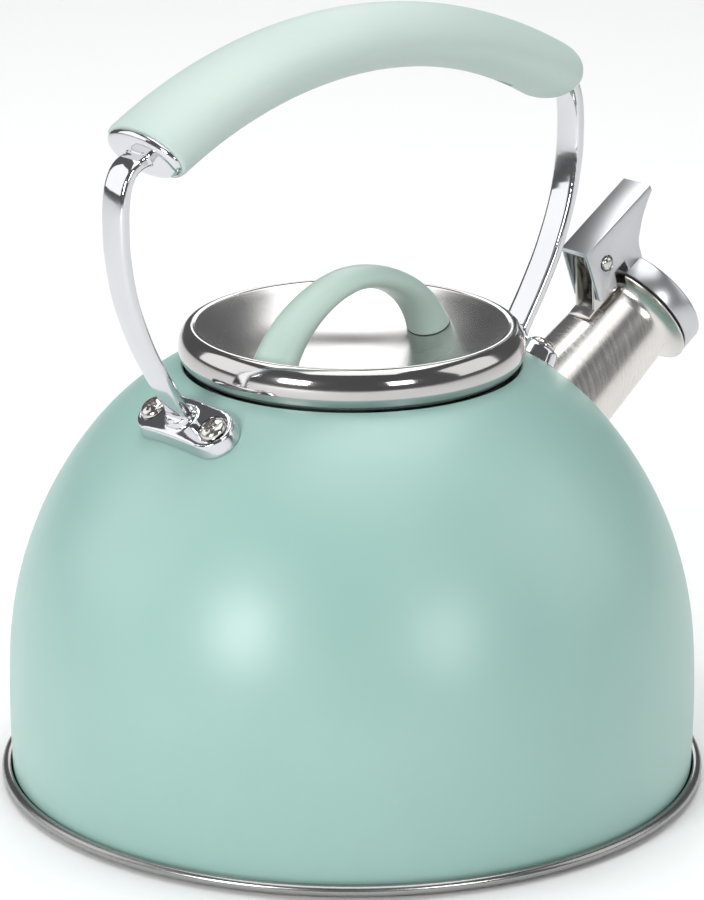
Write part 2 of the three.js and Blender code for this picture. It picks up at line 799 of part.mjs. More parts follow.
// A rounded bar end laid flat on the body, with sloping sides like a casting.
function footOutline(length, width, from, to, draft) {
  const geometry = new THREE.ExtrudeGeometry(stadium(width, length), {
    depth: 0.01,
    bevelEnabled: true,
    bevelThickness: (to - from) / 2,
    bevelSize: draft,
    bevelOffset: -draft,
    bevelSegments: 1,
    curveSegments: 1,
  });
  return geometry.translate(0, 0, (from + to) / 2);
}

function footPlate(side) {
  const slab = solid(ontoFoot(footOutline(footLength, footWidth, -7, 11, 1.6), side));
  let foot = slab.intersect(bodyBand(gap, footThick));
  const boss = solid(ontoFoot(footOutline(16, footWidth - 3, -8, 8, 2.4), side));
  foot = foot.add(boss.intersect(bodyBand(gap, footThick + 2)));
  for (const end of [-1, 1]) {
    const recess = rod(footScrewHead + 0.6, 10, 20).rotateX(Math.PI / 2);
    recess.translate(0, end * footScrewPitch / 2, footRecess + 5);
    foot = foot.subtract(solid(ontoFoot(recess, side)));
  }
  return foot;
}

function endCap(side) {
  const section = ellipse(gripWidth - 2.2, gripHeight - 2.2);
  const cap = new THREE.ExtrudeGeometry(section, {
    depth: 0.8,
    bevelEnabled: true,
    bevelThickness: 2,
    bevelSize: 2.6,
    bevelOffset: -2.6,
    bevelSegments: 2,
    curveSegments: 1,
  });
  // Local z is the outward direction along the grip; the inner bevel is buried in the tang.
  cap.rotateZ(Math.PI / 2);
  cap.translate(0, 0, -0.2);
  cap.rotateY(Math.PI / 2);
  cap.translate(0, 0, gripRadius);
  cap.rotateY(gripEndAngle);
  cap.translate(0, 0, gripCentreZ);
  return solid(side > 0 ? cap : cap.rotateZ(Math.PI));
}

function makeArm(side, name) {
  const bar = swept(roundedRectangle(armWidth, armThick, 0.9), armPath(), 28);
  let arm = solid(side > 0 ? bar : bar.rotateZ(Math.PI));
  arm = arm.subtract(bodyFill(gap));
  arm = arm.add(footPlate(side));
  arm = arm.add(endCap(side).subtract(solid(swept(
    ellipse(gripWidth + 4, gripHeight + 4, 16),
    gripPath(side * (gripEndAngle - 0.1), side * (gripEndAngle + gap / gripRadius)),
    2,
  ))));
  const tang = ellipse(gripWidth - 2 * gripWall - 2 * gap, gripHeight - 2 * gripWall - 2 * gap, 16);
  const run = gripPath(side * (gripEndAngle - tangDepth), side * (gripEndAngle + 2 / gripRadius));
  arm = arm.add(solid(swept(tang, run, 4)));
  arm = arm.subtract(gripDrill(side, 2 + gap, gripRadius - 12, gripRadius + 2.6));
  arm = arm.subtract(footHoles(side, footHoleRadius));
  place(`${name}_arm`, arm, 0xc9ccce, 0.12, 1);
}

// Screws, gasket and tapped plate that clamp one foot through the body.
function makeFootFixings(side, name) {
  const lift = footRecess + gap;
  const depth = shellWall + 5;
  for (const [end, label] of [[-1, 'near'], [1, 'far']]) {
    const screw = turned([
      [0, -depth],
      [footScrewRadius, -depth],
      [footScrewRadius, lift],
      [footScrewHead, lift],
      [footScrewHead, lift + 0.7],
      [footScrewHead - 0.9, lift + 1.8],
      [footScrewHead - 2.5, lift + 2.3],
      [0, lift + 2.4],
    ], 16);
    let body = solid(ontoFoot(screw.translate(0, end * footScrewPitch / 2, 0), side));
    for (const turn of [0, Math.PI / 2]) {
      const slot = block(0.9, 4.6, 2.4).rotateZ(turn).translate(0, end * footScrewPitch / 2, lift + 2.2);
      body = body.subtract(solid(ontoFoot(slot, side)));
    }
    place(`${name}_foot_screw_${label}`, body, 0xc4c2be, 0.25, 1);
  }
  const layers = [
    ['gasket', 0, 1, footLength - 2, footWidth - 4, 0x3a3a3a, 0.8, 0],
    ['backing_plate', 1 + gap, 2.8, footLength - 4, footWidth - 5, 0xb2b2b0, 0.4, 1],
  ];
  for (const [label, from, to, length, width, colour, roughness, metalness] of layers) {
    const slab = solid(ontoFoot(footOutline(length, width, -14, 4, 0.01), side));
    const inside = -shellWall - gap;
    const layer = slab.intersect(bodyBand(inside - to, inside - from));
    place(`${name}_${label}`, layer.subtract(footHoles(side, footHoleRadius)), colour, roughness, metalness);
  }
}

makeBody();
makeBase();
makeMouth();
makeLid();
makeLidHandle();
makeLidScrews();
makeSpout();
makeBracket();
makePin();
makeLever();
makeWhistle();
makeSpring();
makeGrip();
for (const [side, name] of [[-1, 'back'], [1, 'front']]) {
  makeArm(side, name);
  makeFootFixings(side, name);
}

export default group;
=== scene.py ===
import math
import bpy
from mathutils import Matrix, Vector


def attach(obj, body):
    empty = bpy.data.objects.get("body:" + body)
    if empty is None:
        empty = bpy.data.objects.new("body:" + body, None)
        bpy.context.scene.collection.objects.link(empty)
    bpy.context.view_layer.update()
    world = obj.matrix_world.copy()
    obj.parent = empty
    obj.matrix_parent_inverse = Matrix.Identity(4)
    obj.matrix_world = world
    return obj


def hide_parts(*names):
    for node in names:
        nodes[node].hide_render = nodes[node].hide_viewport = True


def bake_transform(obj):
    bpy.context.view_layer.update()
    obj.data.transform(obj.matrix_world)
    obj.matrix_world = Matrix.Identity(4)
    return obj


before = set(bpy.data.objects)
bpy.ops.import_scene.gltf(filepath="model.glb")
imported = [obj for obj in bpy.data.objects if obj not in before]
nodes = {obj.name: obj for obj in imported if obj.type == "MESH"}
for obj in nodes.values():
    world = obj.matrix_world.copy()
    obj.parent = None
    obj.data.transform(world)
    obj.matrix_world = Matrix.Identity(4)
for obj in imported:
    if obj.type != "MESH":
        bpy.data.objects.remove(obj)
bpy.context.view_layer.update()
mm = 0.001
quarter = math.pi / 2


# modelling helpers
def clearSelection():
    if bpy.context.mode != "OBJECT":
        bpy.ops.object.mode_set(mode="OBJECT")
    bpy.ops.object.select_all(action="DESELECT")


def pick(piece):
    clearSelection()
    piece.select_set(True)
    bpy.context.view_layer.objects.active = piece


def editAll(piece):
    pick(piece)
    bpy.ops.object.mode_set(mode="EDIT")
    bpy.ops.mesh.select_mode(type="VERT")
    bpy.ops.mesh.select_all(action="SELECT")


def tidyFaces(piece):
    editAll(piece)
    bpy.ops.mesh.remove_doubles(threshold=0.002 * mm)
    bpy.ops.mesh.select_all(action="SELECT")
    bpy.ops.mesh.normals_make_consistent(inside=False)
    bpy.ops.object.mode_set(mode="OBJECT")


def settle(piece):
    # place goes into the mesh, the object stays at the origin
    pick(piece)
    bpy.ops.object.transform_apply(location=True, rotation=True, scale=True)


def applyModifier(piece, kind, **settings):
    pick(piece)
    modifier = piece.modifiers.new(kind.title(), kind)
    for key, value in settings.items():
        setattr(modifier, key, value)
    bpy.ops.object.modifier_apply(modifier=modifier.name)


def shade(piece, angle=35):
    pick(piece)
    bpy.ops.object.shade_smooth_by_angle(angle=math.radians(angle))


def removePiece(piece):
    mesh = piece.data
    bpy.data.objects.remove(piece)
    bpy.data.meshes.remove(mesh)


def cutWith(piece, cutter, operation="DIFFERENCE"):
    applyModifier(piece, "BOOLEAN", operation=operation, solver="EXACT", object=cutter)
    removePiece(cutter)


def joinAll(pieces):
    clearSelection()
    for piece in pieces:
        piece.select_set(True)
    bpy.context.view_layer.objects.active = pieces[0]
    bpy.ops.object.join()
    return pieces[0]


def copyPiece(piece, name):
    twin = piece.copy()
    twin.data = piece.data.copy()
    twin.name = name
    bpy.context.scene.collection.objects.link(twin)
    return twin


def drawLine(name, points, closed=False):
    # one vertex, extruded from point to point
    clearSelection()
    bpy.ops.mesh.primitive_plane_add(size=0.01)
    piece = bpy.context.object
    piece.name = name
    bpy.ops.object.mode_set(mode="EDIT")
    bpy.ops.mesh.select_mode(type="VERT")
    bpy.ops.mesh.select_all(action="SELECT")
    bpy.ops.mesh.merge(type="CENTER")
    bpy.ops.transform.translate(value=points[0])
    for here, there in zip(points, points[1:]):
        bpy.ops.mesh.extrude_region_move(TRANSFORM_OT_translate={"value": there - here})
    if closed:
        bpy.ops.mesh.select_all(action="SELECT")
        bpy.ops.mesh.edge_face_add()
    bpy.ops.object.mode_set(mode="OBJECT")
    return piece


def turnProfile(name, profile, steps=128, closed=False):
    # profile of (radius, height) in mm, spun about the Z axis
    points = [Vector((r * mm, 0, z * mm)) for r, z in profile]
    if closed:
        points.append(points[0])
    piece = drawLine(name, points)
    editAll(piece)
    bpy.ops.mesh.spin(steps=steps, angle=2 * math.pi, center=(0, 0, 0), axis=(0, 0, 1))
    tidyFaces(piece)
    return piece


def extrudeOutline(name, outline, width, centre=0.0):
    # outline of (x, z) in mm, given a width along Y
    points = [Vector((x * mm, (centre - width / 2) * mm, z * mm)) for x, z in outline]
    piece = drawLine(name, points, closed=True)
    editAll(piece)
    bpy.ops.mesh.extrude_region_move(TRANSFORM_OT_translate={"value": (0, width * mm, 0)})
    tidyFaces(piece)
    return piece


def addRod(radius, start, end, steps=48):
    # a straight rod between two points in mm, used for drilling
    a, b = Vector(start) * mm, Vector(end) * mm
    clearSelection()
    bpy.ops.mesh.primitive_cylinder_add(vertices=steps, radius=radius * mm,
                                        depth=(b - a).length, location=(a + b) / 2)
    piece = bpy.context.object
    piece.rotation_euler = (b - a).to_track_quat("Z", "Y").to_euler()
    settle(piece)
    return piece


def addSlab(size, centre, turn=(0, 0, 0)):
    clearSelection()
    bpy.ops.mesh.primitive_cube_add(size=1, location=Vector(centre) * mm, rotation=turn)
    piece = bpy.context.object
    piece.scale = Vector(size) * mm
    settle(piece)
    return piece


def sweepSection(section, stations):
    # section lies flat at the origin; stations are (x, z, heading, wide, thick)
    x, z, heading, wide, thick = stations[0]
    section.scale = (thick, wide, 1)
    settle(section)
    section.rotation_euler = (0, quarter - heading, 0)
    section.location = (x * mm, 0, z * mm)
    settle(section)
    editAll(section)
    for last, here in zip(stations, stations[1:]):
        step = Vector(((here[0] - last[0]) * mm, 0, (here[1] - last[1]) * mm))
        centre = (here[0] * mm, 0, here[1] * mm)
        bpy.ops.mesh.extrude_region_move(TRANSFORM_OT_translate={"value": step})
        bpy.ops.transform.rotate(value=here[2] - last[2], orient_axis="Y",
                                 orient_type="GLOBAL", center_override=centre)
        wide, thick = here[3] / last[3], here[4] / last[4]
        if abs(wide - 1) + abs(thick - 1) > 1e-6:
            bpy.ops.transform.resize(value=(thick, wide, thick), center_override=centre)
    tidyFaces(section)
    return section


def roundSection(width, thick, corners=40):
    clearSelection()
    bpy.ops.mesh.primitive_circle_add(vertices=corners, radius=mm / 2, fill_type="NGON")
    section = bpy.context.object
    section.scale = (thick, width, 1)
    settle(section)
    return section


def crownedSection(width, thick, corner, crown):
    # a flat bar's section with eased corners and slightly domed broad faces
    across, through = width / 2 - corner, thick / 2 - corner - crown
    points = []
    for side in (1, -1):
        for k in range(-4, 5):
            bulge = corner + crown * (1 - (k / 4) ** 2)
            points.append((side * (through + bulge), side * across * k / 4))
        base = 0 if side > 0 else math.pi
        corners = [(side * through, base + quarter * k / 5) for k in range(1, 6)]
        corners += [(-side * through, base + quarter * (1 + k / 5)) for k in range(5)]
        points += [(centre + corner * math.cos(angle), side * across + corner * math.sin(angle))
                   for centre, angle in corners]
    return drawLine("section", [Vector((x * mm, y * mm, 0)) for x, y in points], closed=True)


def smoothLine(points, each=6):
    # Catmull-Rom through (x, z) points
    ends = [points[0], *points, points[-1]]
    line = []
    for a, b, c, d in zip(ends, ends[1:], ends[2:], ends[3:]):
        for k in range(each):
            t = k / each
            line.append(tuple(
                0.5 * (2 * q + (r - p) * t + (2 * p - 5 * q + 4 * r - s) * t ** 2
                       + (3 * q - p - 3 * r + s) * t ** 3)
                for p, q, r, s in zip(a, b, c, d)))
    line.append(points[-1])
    return line


def headed(line):
    # adds a heading and unit section scales to each point of a line
    stations = []
    for k, (x, z) in enumerate(line):
        a, b = line[max(k - 1, 0)], line[min(k + 1, len(line) - 1)]
        heading = math.atan2(b[1] - a[1], b[0] - a[0])
        if stations:
            while heading - stations[-1][2] > math.pi:
                heading -= 2 * math.pi
            while heading - stations[-1][2] < -math.pi:
                heading += 2 * math.pi
        stations.append((x, z, heading, 1, 1))
    return stations


def finishPiece(piece, name, body, slotName, material, *replaced):
    piece.name = name
    piece.data.name = name
    piece.data.materials.clear()
    piece.data.materials.append(material)
    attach(piece, body)
    if replaced:
        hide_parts(*replaced)
    return piece


# material helpers
class Field:
    # wraps a socket, so that sums and products read as plain maths
    def __init__(self, tree, socket):
        self.tree = tree
        self.socket = socket

    def combine(self, operation, first, second):
        node = self.tree.nodes.new("ShaderNodeMath")
        node.operation = operation
        for target, value in zip(node.inputs, (first, second)):
            if isinstance(value, Field):
                self.tree.links.new(value.socket, target)
            else:
                target.default_value = value
        return Field(self.tree, node.outputs[0])

    def __add__(self, other):
        return self.combine("ADD", self, other)

    def __radd__(self, other):
        return self.combine("ADD", other, self)

    def __sub__(self, other):
        return self.combine("SUBTRACT", self, other)

    def __rsub__(self, other):
        return self.combine("SUBTRACT", other, self)

    def __mul__(self, other):
        return self.combine("MULTIPLY", self, other)

    def __rmul__(self, other):
        return self.combine("MULTIPLY", other, self)


class Finish:
    # one material with a Principled shader and the patterns that feed it
    def __init__(self, name, **fixed):
        self.material = bpy.data.materials.new(name)
        self.material.use_nodes = True
        self.tree = self.material.node_tree
        self.shader = self.tree.nodes["Principled BSDF"]
        for key, value in fixed.items():
            self.shader.inputs[key.replace("_", " ")].default_value = value
        self.place = self.node("ShaderNodeTexCoord", output="Object")

    def node(self, kind, settings=None, output=0, **values):
        node = self.tree.nodes.new(kind)
        for key, value in (settings or {}).items():
            setattr(node, key, value)
        for key, value in values.items():
            target = node.inputs[key.replace("_", " ")]
            if isinstance(value, Field):
                self.tree.links.new(value.socket, target)
            else:
                target.default_value = value
        return Field(self.tree, node.outputs[output])

    def noise(self, scale, detail=3, place=None, roughness=0.5):
        return self.node("ShaderNodeTexNoise", Vector=place or self.place,
                         Scale=scale, Detail=detail, Roughness=roughness)

    def mapped(self, rotation=(0, 0, 0), scale=(1, 1, 1)):
        return self.node("ShaderNodeMapping", Vector=self.place, Rotation=rotation, Scale=scale)

    def ramp(self, field, low, high, outLow=0.0, outHigh=1.0):
        return self.node("ShaderNodeMapRange", Value=field, From_Min=low, From_Max=high,
                         To_Min=outLow, To_Max=outHigh)

    def blendColours(self, factor, first, second):
        mixer = self.tree.nodes.new("ShaderNodeMix")
        mixer.data_type = "RGBA"
        self.tree.links.new(factor.socket, mixer.inputs[0])
        for target, value in ((mixer.inputs[6], first), (mixer.inputs[7], second)):
            if isinstance(value, Field):
                self.tree.links.new(value.socket, target)
            else:
                target.default_value = (*value, 1)
        return Field(self.tree, mixer.outputs[2])

    def feed(self, socketName, field):
        self.tree.links.new(field.socket, self.shader.inputs[socketName])

    def bump(self, height, distance, strength=1.0):
        self.feed("Normal", self.node("ShaderNodeBump", Height=height,
                                      Distance=distance, Strength=strength))


def coated(name, deep, light, roughness, grain, grainDepth, coat, coatRoughness=0.2):
    # coloured coat: soft mottling, faint orange peel, small shifts in gloss
    finish = Finish(name, Coat_Weight=coat, Coat_Roughness=coatRoughness)
    cloudy = finish.noise(14, 2)
    finish.feed("Base Color", finish.blendColours(finish.ramp(cloudy, 0.35, 0.65), deep, light))
    finish.feed("Roughness", roughness + finish.noise(60, 2) * 0.06)
    finish.bump(finish.noise(grain, 3), grainDepth * mm, 0.35)
    return finish.material


def metal(name, colour, roughness, spread=0.05, lines=None, anisotropic=0.0, scratch=0.0):
    # lines is a (rotation, scale) for brushing that shows as streaks of gloss
    finish = Finish(name, Metallic=1.0, Anisotropic=anisotropic)
    smudge = finish.noise(22, 3)
    tinted = tuple(c * 0.9 for c in colour)
    finish.feed("Base Color", finish.blendColours(finish.ramp(smudge, 0.3, 0.7), tinted, colour))
    if lines:
        grain = finish.noise(900, 2, finish.mapped(*lines))
        finish.feed("Roughness", roughness + finish.ramp(grain, 0.3, 0.7, -spread, spread))
    else:
        finish.feed("Roughness", roughness + finish.ramp(smudge, 0.3, 0.7, -spread, spread))
        if scratch:
            finish.bump(finish.noise(400, 2), scratch * mm, 0.2)
    return finish.material


spoutTilt = math.radians(34.4)
mintEnamel = coated("mintEnamel", (0.285, 0.475, 0.43), (0.31, 0.505, 0.455), 0.4, 900, 0.02, 0.42, 0.3)
mintGrip = coated("mintGrip", (0.46, 0.57, 0.53), (0.5, 0.6, 0.56), 0.5, 1400, 0.03, 0.0)
mintHandle = coated("mintHandle", (0.49, 0.64, 0.58), (0.52, 0.67, 0.61), 0.42, 700, 0.02, 0.15, 0.3)
armChrome = metal("armChrome", (0.7, 0.705, 0.73), 0.08, 0.03)
lidSteel = metal("lidSteel", (0.56, 0.545, 0.54), 0.1, 0.03)
dishSteel = metal("dishSteel", (0.6, 0.59, 0.58), 0.26, 0.04, anisotropic=0.6)
rimSteel = metal("rimSteel", (0.4, 0.395, 0.39), 0.24, 0.05, anisotropic=0.5)
innerSteel = metal("innerSteel", (0.5, 0.49, 0.48), 0.3, 0.06)
spoutSteel = metal("spoutSteel", (0.74, 0.71, 0.68), 0.26, 0.03,
                   ((0, spoutTilt, 0), (1, 0.06, 0.06)))
castSatin = metal("castSatin", (0.6, 0.61, 0.63), 0.3, 0.04, scratch=0.003)
brightSteel = metal("brightSteel", (0.66, 0.64, 0.61), 0.16, 0.05)
wireSteel = metal("wireSteel", (0.55, 0.54, 0.52), 0.25, 0.05)
coreMetal = metal("coreMetal", (0.72, 0.73, 0.74), 0.45, 0.08, scratch=0.02)
rubber = coated("rubber", (0.02, 0.02, 0.02), (0.035, 0.035, 0.035), 0.6, 500, 0.05, 0.0)
print("materials ready")


# the spout's own frame

spoutShape = {
    "axisZ": 42.85, "root": (86, 18.1), "neck": (143, 15.06), "lip": (146.5, 20.0), "wall": 1.0,
}


def alongSpout(distance, height=0.0, side=0.0):
    # from distance along the spout's axis and height off it, to the kettle's frame
    c, s = math.cos(spoutTilt), math.sin(spoutTilt)
    return (distance * c - height * s, side, spoutShape["axisZ"] + distance * s + height * c)


def onSpout(piece, lathe=False):
    # a turned piece has its axis on Z, an outline has its length on X
    piece.rotation_euler = (0, quarter - spoutTilt if lathe else -spoutTilt, 0)
    piece.location = (0, 0, spoutShape["axisZ"] * mm)
    settle(piece)
    return piece


def spoutRadius(distance):
    (a, ra), (b, rb) = spoutShape["root"], spoutShape["neck"]
    return ra + (rb - ra) * (distance - a) / (b - a)


# body

bodyShape = {
    "foot": (106.5, 4.0),
    "footTilt": -3.1,
    "arcs": ((379.3, 5.7, 8), (117.1, 36.75, 22), (83.0, 24.6, 14)),
    "wall": 1.2,
}


def bodyLine(distance=0.0):
    tilt = math.radians(bodyShape["footTilt"])
    x, z = bodyShape["foot"]
    line = [(x, z, tilt)]
    for radius, sweep, steps in bodyShape["arcs"]:
        for _ in range(steps):
            after = tilt + math.radians(sweep) / steps
            x += radius * (math.cos(after) - math.cos(tilt))
            z += radius * (math.sin(after) - math.sin(tilt))
            tilt = after
            line.append((x, z, tilt))
    return [(x + distance * math.cos(t), z + distance * math.sin(t)) for x, z, t in line]


def bodyFill(name, distance):
    line = bodyLine(distance)
    return turnProfile(name, [(0, line[0][1]), *line, (0, line[-1][1])], 128)


outer, inner = bodyLine(), bodyLine(-bodyShape["wall"])
edge = [((outer[-1][0] + inner[-1][0]) / 2 - 0.35, (outer[-1][1] + inner[-1][1]) / 2 + 0.1)]
bodyPiece = turnProfile("mintBody", outer + edge + inner[::-1], 160, closed=True)
spoutHole = [(0, 60), (spoutRadius(60) + 0.3, 60), (spoutRadius(133) + 0.3, 133), (0, 133)]
cutWith(bodyPiece, onSpout(turnProfile("spoutHole", spoutHole, 96), lathe=True))
shade(bodyPiece, 40)
finishPiece(bodyPiece, "mintBody", "kettle", "mint_enamel", mintEnamel, "body_shell")
print("body done")


# turned steel pieces

turnedPieces = {
    "baseCap": dict(node="base_cap", slot="brushed_steel", material=rimSteel, profile=[
        (0, 0), (103, 0), (104, 0.15), (104.8, 0.5), (106.2, 0.8), (107.8, 1.0), (108.8, 1.3),
        (109.5, 1.8), (109.9, 2.4), (109.95, 3.0), (109.75, 3.7), (109.3, 4.25), (108.7, 4.6),
        (107.9, 4.7), (107.3, 4.6), (107.1, 4.3), (107.1, 2.5), (106.3, 2.1), (104.5, 1.6),
        (103, 1.2), (0, 1.2)]),
    "heatDisc": dict(node="heat_core", slot="core_aluminium", material=coreMetal, profile=[
        (0, 1.5), (95, 1.5), (95.7, 1.8), (96, 2.5), (96, 3.9), (95.7, 4.4), (95.2, 4.6), (0, 4.6)]),
    "innerPan": dict(node="base_pan", slot="brushed_steel", material=innerSteel, profile=[
        (0, 4.9), (103.3, 4.9), (104.4, 5.3), (105, 6.4), (105, 9.35), (104.55, 9.5),
        (104.1, 9.35), (104.1, 7), (103.8, 6.2), (103, 5.8), (0, 5.8)]),
    "mouthCollar": dict(node="mouth_collar", slot="brushed_steel", material=innerSteel, closed=True,
                        profile=[
        (45.63, 124.15), (46.07, 124), (46.5, 124.15), (46.5, 129.9), (46.7, 130.4), (47.2, 130.7),
        (51.3, 130.7), (51.3, 131.65), (46.9, 131.65), (46.0, 131.2), (45.63, 130.4)]),
    "lidSkirt": dict(node="lid_skirt", slot="polished_steel", material=innerSteel, body="lid",
                     closed=True, profile=[
        (44.2, 123.1), (44.6, 122.95), (45.0, 123.1), (45.0, 131.4), (45.2, 131.8), (45.7, 131.95),
        (49.2, 131.95), (49.35, 132.35), (49.2, 132.75), (44.9, 132.75), (44.4, 132.5), (44.2, 132)]),
}
for name, spec in turnedPieces.items():
    piece = turnProfile(name, spec["profile"], 144, spec.get("closed", False))
    shade(piece, 30)
    finishPiece(piece, name, spec.get("body", "kettle"), spec["slot"], spec["material"], spec["node"])
print("base and mouth done")


# lid

lidShape = {
    "crest": 145.15, "rim": 53.3, "wall": 1.0, "dishDepth": 14.0, "turn": math.radians(7),
    "reach": 37.6, "rise": 31.9, "width": 13.6, "thick": 7.0,
}
crest, rim = lidShape["crest"], lidShape["rim"]
dishEdge, dishDrop = rim - 5.8, lidShape["dishDepth"] - 0.5
dish = crest - lidShape["dishDepth"]


def dishLine(down, steps=22):
    # a bowl that steepens outwards, moved down square to its surface
    line = []
    for k in range(steps + 1):
        radius = dishEdge * k / steps
        slope = math.atan(2.9 * dishDrop * (k / steps) ** 1.9 / dishEdge)
        line.append((radius + down * math.sin(slope),
                     dish + dishDrop * (k / steps) ** 2.9 - down * math.cos(slope)))
    return line


bowl = dishLine(0)
rimLine = smoothLine([
    bowl[-2], bowl[-1], (rim - 4.9, crest - 0.1), (rim - 4, crest), (rim - 2.8, crest - 0.4),
    (rim - 1.7, crest - 1.4), (rim - 0.5, crest - 3.6), (rim, crest - 6.6),
    (rim - 0.3, crest - 9.2), (rim - 1.8, crest - 12.2)], 5)[6:]
rimUnder = smoothLine([
    (rim - 3, crest - 11.8), (rim - 1.3, crest - 9), (rim - 1, crest - 6.6),
    (rim - 1.6, crest - 4), (rim - 3.2, crest - 1.6)], 4)
lidPiece = turnProfile("lidPressing", bowl + rimLine + rimUnder + dishLine(lidShape["wall"])[::-1], 160)
shade(lidPiece, 60)
finishPiece(lidPiece, "lidPressing", "lid", "polished_steel", lidSteel, "lid_top")
# the dish keeps its brushed finish, the rim is polished
lidPiece.data.materials.append(dishSteel)
for face in lidPiece.data.polygons:
    middle = face.center / mm
    if math.hypot(middle.x, middle.y) < rim - 5.4 and face.normal.z > 0:
        face.material_index = 1

archLine = []
swell = []
for k in range(49):
    angle = math.pi * (1.09 - 1.18 * k / 48)
    side = math.cos(angle)
    away = min(1, abs(angle - quarter) / 1.25) ** 2
    swell.append(((1 + 0.11 * away) * lidShape["width"], (1 + 0.74 * away) * lidShape["thick"]))
    archLine.append((math.copysign(lidShape["reach"] * abs(side) ** 1.09, side),
                     crest - 17.9 + lidShape["rise"] * math.sin(angle)))
lidHandle = sweepSection(
    roundSection(1, 1, 44),
    [(*station[:3], *scale) for station, scale in zip(headed(archLine), swell)])
lidHandle.rotation_euler = (0, 0, lidShape["turn"])
settle(lidHandle)
seat = dishLine(-0.3)
cutWith(lidHandle, turnProfile("seatCut", [(0, dish - 30), (rim, dish - 30), (rim, crest),
                                           *seat[::-1]], 96))
tidyFaces(lidHandle)
shade(lidHandle, 50)
finishPiece(lidHandle, "lidHandle", "lid", "mint_gloss_handle", mintHandle, "lid_handle")
print("lid done")


# spout

neckAt, neck = spoutShape["neck"]
lipAt, lip = spoutShape["lip"]
wall = spoutShape["wall"]
flareAt = lipAt - 6
flare = smoothLine([
    (spoutRadius(flareAt), flareAt), (neck + 0.5, lipAt - 3.8), (neck + 1.5, lipAt - 2.3),
    (neck + 2.9, lipAt - 1.3), (lip - 0.5, lipAt - 0.72), (lip - 0.1, lipAt - 0.6),
    (lip, lipAt - 0.35), (lip - 0.1, lipAt - 0.08), (lip - 0.5, lipAt), (neck + 2.6, lipAt - 0.3),
    (neck + 0.8, lipAt - 1.5), (neck - 0.5, lipAt - 3.3),
    (spoutRadius(flareAt) - wall, flareAt)], 4)
tube = turnProfile("spoutTube", [(spoutRadius(70) - wall, 70), (spoutRadius(70), 70),
                                 (spoutRadius(100), 100), *flare], 128, closed=True)
onSpout(tube, lathe=True)
cutWith(tube, bodyFill("fillCut", -bodyShape["wall"] - 2))
notchFloor = neck + 0.7
notch = addSlab((8, 13.2, 12), (lipAt, 0, notchFloor + 6))
cutWith(tube, onSpout(notch))
shade(tube, 40)
finishPiece(tube, "spoutTube", "kettle", "brushed_steel", spoutSteel, "spout_tube")
print("spout done")


# whistle

whistleShape = {
    "pivot": (143.1, 27.6), "pin": 2.2, "width": 12.0, "wall": 1.3, "top": 36.4, "length": 33.2,
    "cap": 19.78, "capAt": 147.4, "capThick": 8.1, "corner": 0.4,
}
pivotAt, pivotUp = whistleShape["pivot"]
top, width = whistleShape["top"], whistleShape["width"]
back = pivotAt - 5.1
tip = back + whistleShape["length"]
capAt, capRadius = whistleShape["capAt"], whistleShape["cap"]
fingerEdge = smoothLine([(tip - 0.2, top - 2.6), (tip - 4, top - 4.6), (tip - 7.8, top - 7),
                         (tip - 11.4, top - 10.2), (tip - 14, top - 13.2),
                         (tip - 15.6, top - 18.4)], 5)
leverLine = [(back, top), (tip, top - 0.4), *fingerEdge, (capAt + 1.7, top - 18.4),
             (capAt + 1.7, pivotUp - 5), (pivotAt + 0.7, pivotUp - 5.1),
             (pivotAt - 0.8, pivotUp - 9.4), (pivotAt - 7.7, pivotUp - 9.5),
             (pivotAt - 9.3, pivotUp - 8.2)]
lever = extrudeOutline("whistleLever", leverLine, width)
roof = top - 1.4
hollow = extrudeOutline("hollow", [
    (pivotAt - 14, 5), (pivotAt - 14, roof), (tip - 5.2, roof - 0.3), (tip - 9, roof - 4.2),
    (tip - 14.6, roof - 9.6), (capAt + 1.6, roof - 10.8), (capAt + 1.6, 5)],
    width - 2 * whistleShape["wall"])
cutWith(lever, hollow)
cutWith(lever, addRod(2.6, (pivotAt, -15, pivotUp), (pivotAt, 15, pivotUp)))
tidyFaces(lever)
applyModifier(lever, "BEVEL", width=whistleShape["corner"] * mm, segments=3,
              limit_method="ANGLE", angle_limit=math.radians(40))
front = capAt + whistleShape["capThick"]
capLine = [(9.6, front - 2), (capRadius - 2.2, front - 2), (capRadius - 2.2, capAt + 0.3),
           (capRadius - 1.9, capAt), (capRadius - 0.5, capAt), (capRadius - 0.15, capAt + 0.15),
           (capRadius, capAt + 0.5), (capRadius, front - 1.3), (capRadius - 0.1, front - 0.8),
           (capRadius - 0.42, front - 0.4), (capRadius - 1.3, front), (11.2, front),
           (10.3, front - 0.2), (9.8, front - 0.6), (9.6, front - 1.2)]
capRing = turnProfile("capRing", capLine, 120, closed=True)
capRing.rotation_euler = (0, quarter, 0)
settle(capRing)
cutWith(lever, capRing, "UNION")
onSpout(lever)
shade(lever, 40)
finishPiece(lever, "whistleLever", "whistle", "satin_chrome", castSatin, "whistle_lever")

